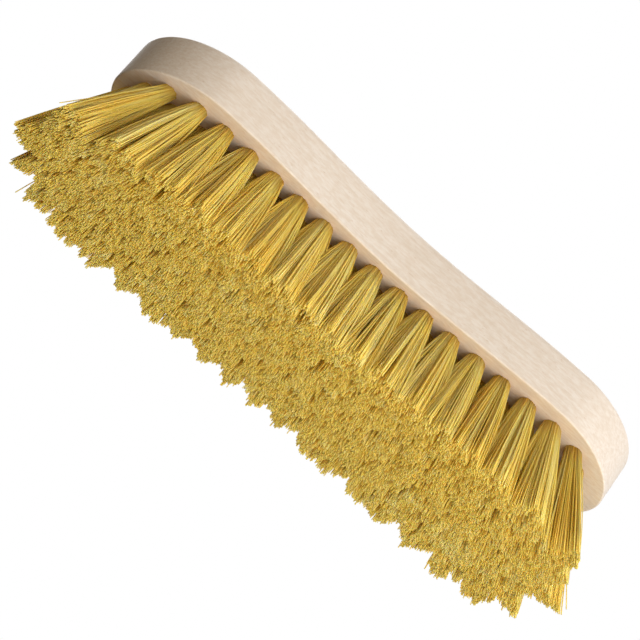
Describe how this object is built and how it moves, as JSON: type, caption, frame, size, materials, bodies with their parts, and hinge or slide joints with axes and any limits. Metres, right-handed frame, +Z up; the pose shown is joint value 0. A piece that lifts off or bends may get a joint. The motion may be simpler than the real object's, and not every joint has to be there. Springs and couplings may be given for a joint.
{
  "type": "scrub brush",
  "caption": "Waisted wooden hand scrub brush with fanned tufts of yellow fibre held in drilled holes by wire anchors.",
  "frame": {"origin": "under the middle of the block, on the surface that the trimmed bristle tips stand on", "axes": "+Z up, from the tips to the back of the block; +X along the length of the block; +Y across it"},
  "size_m": [0.2351, 0.0646, 0.062],
  "materials": {
    "block_wood": "sanded, unvarnished beech",
    "anchor_wire": "plain flat wire",
    "fibre": "stiff golden yellow brush fibre"
  },
  "bodies": {
    "root": {"block": "block_wood", "anchors": "anchor_wire", "tuft_row_01": "fibre", "tuft_row_02": "fibre", "tuft_row_03": "fibre", "tuft_row_04": "fibre", "tuft_row_05": "fibre", "tuft_row_06": "fibre", "tuft_row_07": "fibre", "tuft_row_08": "fibre", "tuft_row_09": "fibre", "tuft_row_10": "fibre", "tuft_row_11": "fibre", "tuft_row_12": "fibre", "tuft_row_13": "fibre", "tuft_row_14": "fibre", "tuft_row_15": "fibre", "tuft_row_16": "fibre", "tuft_row_17": "fibre", "tuft_row_18": "fibre", "tuft_row_19": "fibre", "tuft_row_20": "fibre", "tuft_row_21": "fibre", "tuft_row_22": "fibre", "tuft_row_23": "fibre", "tuft_row_24": "fibre", "tuft_row_25": "fibre", "tuft_row_26": "fibre", "tuft_row_27": "fibre", "tuft_row_28": "fibre", "tuft_row_29": "fibre", "tuft_row_30": "fibre", "tuft_row_31": "fibre", "tuft_row_32": "fibre", "tuft_row_33": "fibre", "tuft_row_34": "fibre", "tuft_row_35": "fibre", "tuft_row_36": "fibre", "tuft_row_37": "fibre"}
  },
  "joints": []
}
